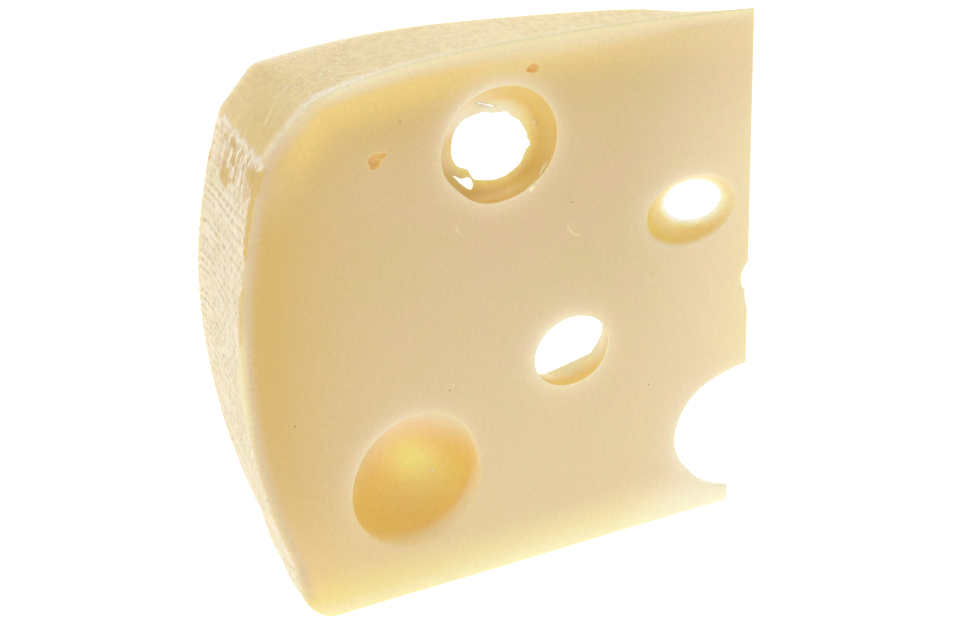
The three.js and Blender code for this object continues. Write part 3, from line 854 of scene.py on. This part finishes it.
# The eyes: a pale halo on the cut, a painted glow of light through the thin cheese round each
# mouth, walls that fade into it, and walls with a painted glow of light from behind.
halo_glow, fade, glow = np.zeros(len(x)), np.zeros(len(x)), np.zeros(len(x))
for mouth in MOUTHS:
    eye = EYES[mouth["eye"]]
    (at_x, _, at_z), (rx, rz) = eye["at"], mouth["radii"]
    away = (np.hypot((x - at_x) / rx, (z - at_z) / rz) - 1.0) * (rx + rz) / 2.0
    angle = np.degrees(np.arctan2(z - at_z, x - at_x))
    strength = mouth["pale"] + bump_at(angle, *mouth["paler"])
    halo_glow = np.maximum(halo_glow, strength * np.exp(-np.maximum(away, 0.0) / 2.3))
    where, spread, depth = mouth["fades"]
    near = bump_at(angle, where, spread, 1.0) * fall(y, 0.0, depth)
    near = np.maximum(near, 0.75 * fall(y, 0.3, 1.3))
    walls = away < WALL_REACH
    fade = np.maximum(fade, near * walls)
    lean_x, lean_z = eye.get("drift", (0.0, 0.0))
    deep_angle = np.degrees(np.arctan2(z - at_z - lean_z * y, x - at_x - lean_x * y))
    # Painted glow of light from behind, through each wall where it is thin.
    for where, spread, strength, start, end in mouth["glows"]:
        lit = bump_at(deep_angle, where, spread, strength) * fall(wide - y, start, end)
        glow = np.maximum(glow, lit * walls)
    if mouth["eye"] == "upper":
        # Its floor gets painted shade, the darkest of all.
        eye_floor_shade = bump_at(deep_angle, -95.0, 33.0, 1.0) * smooth(wide - y, 1.5, 4.0) * walls
    if mouth["eye"] == "low_hollow":
        # Its floor is painted pale high up, where the light from below falls, over a deeper gold
        # lower down that stands for shade, and a painted bright patch is light glowing through its
        # thin wall. Past its lower edge the cut is golden.
        off_x, off_z = x - at_x, z - at_z
        weights("hollow", fall(np.hypot(off_x, off_z), 19.0, 21.0))
        weights("hollow_lit", spot_at((off_x, 6.4, 7.0), (off_z, -4.9, 6.0)) * (y > 4.0))
        weights("hollow_high_lit", smooth(z - 0.25 * off_x, 28.0, 47.0))
        # Golden colour painted past the hollow's lower edge, onto the cut face.
        edge_gold = bump_at(angle, 290.0, 60.0, 0.7) * np.exp(-np.maximum(away, 0.0) / 2.0)
weights("eye_floor_shade", eye_floor_shade)
weights("edge_gold", edge_gold * (from_front < 1.0))
weights("halo_glow", halo_glow * (from_front < 1.0))
weights("fade", fade)
weights("glow", glow)
inside_eye = np.empty(len(body_mesh.polygons), np.int32)
body_mesh.polygons.foreach_get("material_index", inside_eye)
corners = np.empty(len(body_mesh.polygons), np.int32)
body_mesh.polygons.foreach_get("loop_total", corners)
weights("wall", np.repeat(inside_eye, corners).astype(float), "CORNER")

body_mesh.polygons.foreach_set("material_index", [0] * len(body_mesh.polygons))
body_mesh.polygons.foreach_set("use_smooth", [True] * len(body_mesh.polygons))
body_mesh.set_sharp_from_angle(angle=math.radians(42))


# ---- The cheese's material ----

def shade(red, green, blue):
    """A colour named by its screen values."""
    def linear(v):
        v = v / 255.0
        return v / 12.92 if v <= 0.04045 else ((v + 0.055) / 1.055) ** 2.4
    return linear(red), linear(green), linear(blue), 1.0


# The cut faces, with painted light: paler colours low down and at the foot for the lit floor's
# light, and a pale painted glow towards the thin edge, round the mouths and where the cheese is
# thin
PASTE, PASTE_ROSY, PASTE_LOW_LIT = shade(220, 200, 148), shade(226, 197, 158), shade(236, 213, 167)
PASTE_EDGE_GLOW, PASTE_GLOW = shade(235, 219, 177), shade(240, 228, 190)
GOLD, GOLD_CROWN, GOLD_LOW_LIT = shade(222, 187, 108), shade(242, 212, 128), shade(244, 212, 136)
# Painted glow where the lit floor shines up on the foot and the sole
FOOT_GLOW, FOOT_TIP_GLOW, FOOT_LEFT_GLOW = shade(255, 242, 182), shade(255, 252, 240), shade(255, 236, 148)
SOLE_GLOW, ROSY, CREAM = shade(255, 248, 216), shade(221, 199, 160), shade(245, 229, 184)
HALO_GLOW, EDGE_GOLD = shade(242, 230, 204), shade(228, 190, 118)
FLECK, SPOT = shade(250, 234, 190), shade(182, 144, 92)
# The eyes, with painted shade on the deepest floors and a painted glow where light comes through
# the walls
WALL, WALL_DEEP, WALL_SHADE = shade(239, 210, 102), shade(233, 199, 94), shade(220, 178, 76)
WALL_MOUTH, WALL_GLOW, WALL_BACKLIT_GLOW = shade(243, 224, 176), shade(244, 226, 160), shade(255, 253, 240)
HOLLOW, HOLLOW_HIGH_LIT, HOLLOW_LIT = shade(249, 209, 114), shade(250, 238, 212), shade(255, 243, 152)
PIT = shade(244, 208, 128)
# The top's crust, with painted glints of light
CRUST, CRUST_PALE, CRUST_DARK = shade(237, 214, 158), shade(248, 231, 180), shade(220, 194, 136)
CRUST_GOLD, GLINT, FROST = shade(232, 204, 138), shade(255, 247, 220), shade(246, 238, 218)
# The rim, with painted shade in its pits
RIM_CREAM, RIM_ROSY, RIM_OLIVE = shade(246, 234, 206), shade(238, 222, 194), shade(230, 216, 172)
RIM_THREAD, RIM_PIT_SHADE, RIM_WHITE = shade(224, 205, 160), shade(198, 178, 126), shade(248, 238, 218)
RIM_WORN, RIM_WORN_ROSY = shade(214, 180, 116), shade(226, 202, 164)
RIM_MARGIN, STRIP = shade(236, 224, 180), shade(217, 186, 118)

cheese = bpy.data.materials.new("cheese")
cheese.use_nodes = True
tree = cheese.node_tree
shader = tree.nodes["Principled BSDF"]


def feed(socket, value):
    if isinstance(value, bpy.types.NodeSocket):
        tree.links.new(value, socket)
    else:
        socket.default_value = value


def node(kind, inputs, **settings):
    """A node with its settings, and its inputs by name or number."""
    made = tree.nodes.new("ShaderNode" + kind)
    for name, value in settings.items():
        setattr(made, name, value)
    for key, value in inputs.items():
        feed(made.inputs[key], value)
    return made


def mask(name):
    return node("Attribute", {}, attribute_name=name).outputs["Fac"]


def calc(operation, first, *others):
    """A sum on two values or more, from left to right."""
    for other in others:
        first = node("Math", {0: first, 1: other}, operation=operation).outputs[0]
    return first


def times(*values):
    return calc("MULTIPLY", *values)


def plus(*values):
    return calc("ADD", *values)


def inverse(value):
    return calc("SUBTRACT", 1.0, value)


def span(value, low, high, to_low=0.0, to_high=1.0):
    """A smooth step between two numbers."""
    inputs = {0: value, 1: low, 2: high, 3: to_low, 4: to_high}
    return node("MapRange", inputs, interpolation_type="SMOOTHSTEP").outputs[0]


def mixed(share, a, b):
    """Colour a where share is 0 and b where it is 1."""
    return node("Mix", {0: share, 6: a, 7: b}, data_type="RGBA").outputs[2]


def layered(base, *layers):
    """Layers of colour over a base. Each is its share and its colour."""
    for share, tint in layers:
        base = mixed(share, base, tint)
    return base


def stretched(size):
    """Coordinates whose units along x, y and z are a size's three lengths."""
    place = node("TexCoord", {}).outputs["Object"]
    return node("Mapping", {"Vector": place, "Scale": [1000.0 / v for v in size]}).outputs[0]


def grain(size, detail=2.0, rough=0.5, bent=0.0):
    """Noise from 0 to 1 with features of a size."""
    inputs = {"Vector": stretched(size), "Scale": 1.0, "Detail": detail, "Roughness": rough,
              "Distortion": bent}
    return node("TexNoise", inputs).outputs["Fac"]


def cells(size):
    """Points scattered a size apart: the distance to the nearest, and its colour."""
    return node("TexVoronoi", {"Vector": stretched(size), "Scale": 1.0})


wall, thin = mask("wall"), mask("thin")
rim = times(mask("rim"), mask("behind_cut"))
pit, worn = mask("pit"), mask("worn")

broad = grain((26, 26, 19), 3.0, 0.55, 0.4)
mottled = grain((5.5, 5.5, 5.0), 2.0, 0.6)
fine = grain((1.1, 1.1, 1.1), 3.0, 0.6)
speck = grain((0.35, 0.35, 0.35), 2.0, 0.6)
top = times(mask("top"), mask("skin"))

# The paste: tan cream, golden under the crust, with painted light: paler low down and at the foot
# where the lit floor shines on it, and a pale painted glow towards the thin edge, round the mouths
# and where the cheese is thin.
clouds = span(plus(times(broad, 0.6), times(mottled, 0.4)), 0.36, 0.64)
gold = mixed(mask("crown"), mixed(mask("lowest"), GOLD, GOLD_LOW_LIT), GOLD_CROWN)
# The foot's painted glow from the lit floor, whitest towards the thin edge
foot = mixed(mask("right"), mixed(mask("right_top"), FOOT_LEFT_GLOW, FOOT_GLOW), FOOT_TIP_GLOW)
foot = mixed(mask("sole"), foot, SOLE_GLOW)
paste = layered(
    mixed(clouds, PASTE, PASTE_ROSY),
    (times(mask("low"), 0.85), PASTE_LOW_LIT),
    (mask("gold"), gold),
    (times(mask("right"), 0.9), PASTE_EDGE_GLOW),
    (times(mask("foot"), span(broad, 0.2, 0.8, 0.85, 1.0)), foot),
    (times(mask("rosy"), inverse(mask("foot"))), ROSY),
    (mask("cream"), CREAM),
    (mask("halo_glow"), HALO_GLOW),
    (times(thin, 0.4, inverse(mask("hollow"))), PASTE_GLOW),
    (mask("edge_gold"), EDGE_GOLD))

# The eyes' insides: deep golden, with painted shade on the upper eye's floor, paler by the mouth,
# and a painted glow where light comes through.
# The hollow's floor: painted light high up and a painted patch of light glowing through, over a
# deeper gold that stands for shade lower down
hollow = layered(HOLLOW, (mask("hollow_high_lit"), HOLLOW_HIGH_LIT), (mask("hollow_lit"), HOLLOW_LIT))
inside = layered(
    mixed(span(broad, 0.35, 0.65), WALL, WALL_DEEP),
    (times(mask("eye_floor_shade"), 0.8), WALL_SHADE),
    (mask("hollow"), hollow),
    (times(span(thin, 0.42, 0.85, 0.0, 0.6), inverse(mask("hollow"))), WALL_GLOW),
    (mask("glow"), WALL_BACKLIT_GLOW),
    (mask("fade"), mixed(0.45, paste, WALL_MOUTH)),
    (mask("pitted"), PIT))

# The top's crust, pebbled and set with small painted glints of light.
glint_cells = cells((1.25, 1.25, 1.25))
glint_pick = node("SeparateColor", {0: glint_cells.outputs["Color"]})
clusters = span(grain((13, 9, 13), 1.0), 0.42, 0.6)
clustered = times(mask("glinty"), plus(times(clusters, 0.9), 0.3))
glint_round = inverse(span(glint_cells.outputs["Distance"], 0.17, 0.38))
glint_kept = times(span(glint_pick.outputs[0], 0.35, 0.65),
                  calc("MAXIMUM", clustered, mask("glint_edge")))
# Painted glints of light on the crust
glint = times(glint_round, glint_kept, top)
crust = layered(
    mixed(mask("golden_crust"), CRUST, CRUST_GOLD),
    (mask("right_top"), CRUST_PALE),
    (span(grain((1.6, 1.6, 1.6), 2.0), 0.3, 0.7, 0.0, 0.4), CRUST_DARK),
    (glint, GLINT))

# The rim: whitish, with painted shade in the cloth's small pits and creases, and streaked where it
# is worn.
cloth_thread = grain((0.9, 0.55, 6.0), 3.0, 0.6)
threads = grain((0.8, 0.42, 7.0), 2.0, 0.5)
patch = grain((5.0, 3.4, 9.0), 3.0, 0.6)
pulled = grain((1.2, 0.75, 5.0), 3.0, 0.65, 0.3)
worn_colour = mixed(span(patch, 0.42, 0.55), RIM_WORN_ROSY, RIM_WORN)
rim_colour = layered(
    mixed(span(cloth_thread, 0.3, 0.7), RIM_CREAM, RIM_ROSY),
    (span(grain((7, 7, 11), 2.0), 0.45, 0.7, 0.0, 0.6), RIM_OLIVE),
    (span(threads, 0.5, 0.72, 0.0, 0.75), RIM_THREAD),
    (worn, mixed(span(pulled, 0.47, 0.6), worn_colour, RIM_WHITE)),
    (times(mask("border"), 0.8), RIM_WHITE),
    (times(pit, 0.75), RIM_PIT_SHADE))

colour = layered(
    mixed(wall, paste, inside),
    (top, crust),
    (rim, rim_colour),
    (times(mask("margin"), mask("side")), RIM_MARGIN),
    (mask("strip"), STRIP),
    (times(mask("frost"), inverse(wall), span(fine, 0.25, 0.6, 0.65, 1.0)), FROST),
    (mask("fleck"), FLECK),
    (mask("spot"), SPOT))
grainy_tone = plus(span(fine, 0.2, 0.8, 0.955, 1.025), span(speck, 0.2, 0.8, -0.022, 0.022))
toned = node("HueSaturation", {"Color": colour, "Value": grainy_tone})
feed(shader.inputs["Base Color"], toned.outputs[0])

# The finish: satin and moist, duller on the rim, with the finest relief as bump.
BUMP_DEPTH = 0.00012  # in metres
rough = span(fine, 0.2, 0.8, 0.38, 0.5)
feed(shader.inputs["Roughness"],
     plus(rough, times(wall, -0.1), times(rim, 0.2), times(top, -0.06)))
relief = times(span(fine, 0.2, 0.8), plus(0.25, times(top, 0.75)))
relief = plus(relief, times(glint, 1.2), times(rim, cloth_thread, 0.9), times(worn, pulled, 1.5),
              times(rim, speck, 0.35))
bump = node("Bump", {"Distance": BUMP_DEPTH, "Height": relief})
feed(shader.inputs["Normal"], bump.outputs[0])
shader.inputs["Subsurface Weight"].default_value = 0.5
shader.inputs["Subsurface Radius"].default_value = (1.0, 0.62, 0.25)
shader.inputs["Subsurface Scale"].default_value = 0.005

body_mesh.materials.clear()
body_mesh.materials.append(cheese)
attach(body, "root")
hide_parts("cheese_wedge")


# ---- The pale floor, the soft light and the camera, in metres and degrees ----

FLOOR_REACH, FLOOR_HEIGHT = 6.0, -0.0003
MIDDLE = (0, 0, 0.08)  # the wedge's middle, where the lights are aimed
CAMERA_AT, LOOK_AT, ROLL = (-0.2153, -0.4253, 0.3465), (-0.0085, -0.0144, 0.0766), 0.22

floor_mesh = bpy.data.meshes.new("floor")
floor_corners = [(FLOOR_REACH * a, FLOOR_REACH * b, FLOOR_HEIGHT)
                 for a, b in ((-1, -1), (1, -1), (1, 1), (-1, 1))]
floor_mesh.from_pydata(floor_corners, [], [(0, 1, 2, 3)])
floor = placed("floor", floor_mesh)
white = bpy.data.materials.new("floor_white")
white.use_nodes = True
white_shader = white.node_tree.nodes["Principled BSDF"]
white_shader.inputs["Base Color"].default_value = (0.6, 0.6, 0.6, 1)
white_shader.inputs["Emission Color"].default_value = (1, 1, 1, 1)
white_shader.inputs["Emission Strength"].default_value = 0.67
floor_mesh.materials.append(white)

scene = bpy.context.scene
scene.view_settings.view_transform = "Standard"
world = bpy.data.worlds.new("studio")
world.use_nodes = True
background = world.node_tree.nodes["Background"]
background.inputs["Color"].default_value = (1, 1, 1, 1)
background.inputs["Strength"].default_value = 0.74
scene.world = world


def aimed(at, aim):
    """The placing of what stands at a place and looks at another."""
    turn = (Vector(aim) - Vector(at)).to_track_quat("-Z", "Y").to_matrix().to_4x4()
    return Matrix.Translation(at) @ turn


def softbox(name, at, aim, size, power):
    """A square light at a place, aimed at another."""
    data = bpy.data.lights.new(name, "AREA")
    data.shape, data.size, data.energy = "SQUARE", size, power
    placed(name, data).matrix_world = aimed(at, aim)


softbox("back_light", (0.25, 0.75, 0.75), MIDDLE, 0.9, 2.8)
softbox("side_light", (-0.9, 0.1, 0.55), MIDDLE, 0.7, 0.9)

camera_data = bpy.data.cameras.new("camera")
camera_data.lens = 82.5
camera_data.sensor_width = 36.0
camera = placed("camera", camera_data)
camera.matrix_world = aimed(CAMERA_AT, LOOK_AT) @ Matrix.Rotation(math.radians(ROLL), 4, "Z")
scene.camera = camera
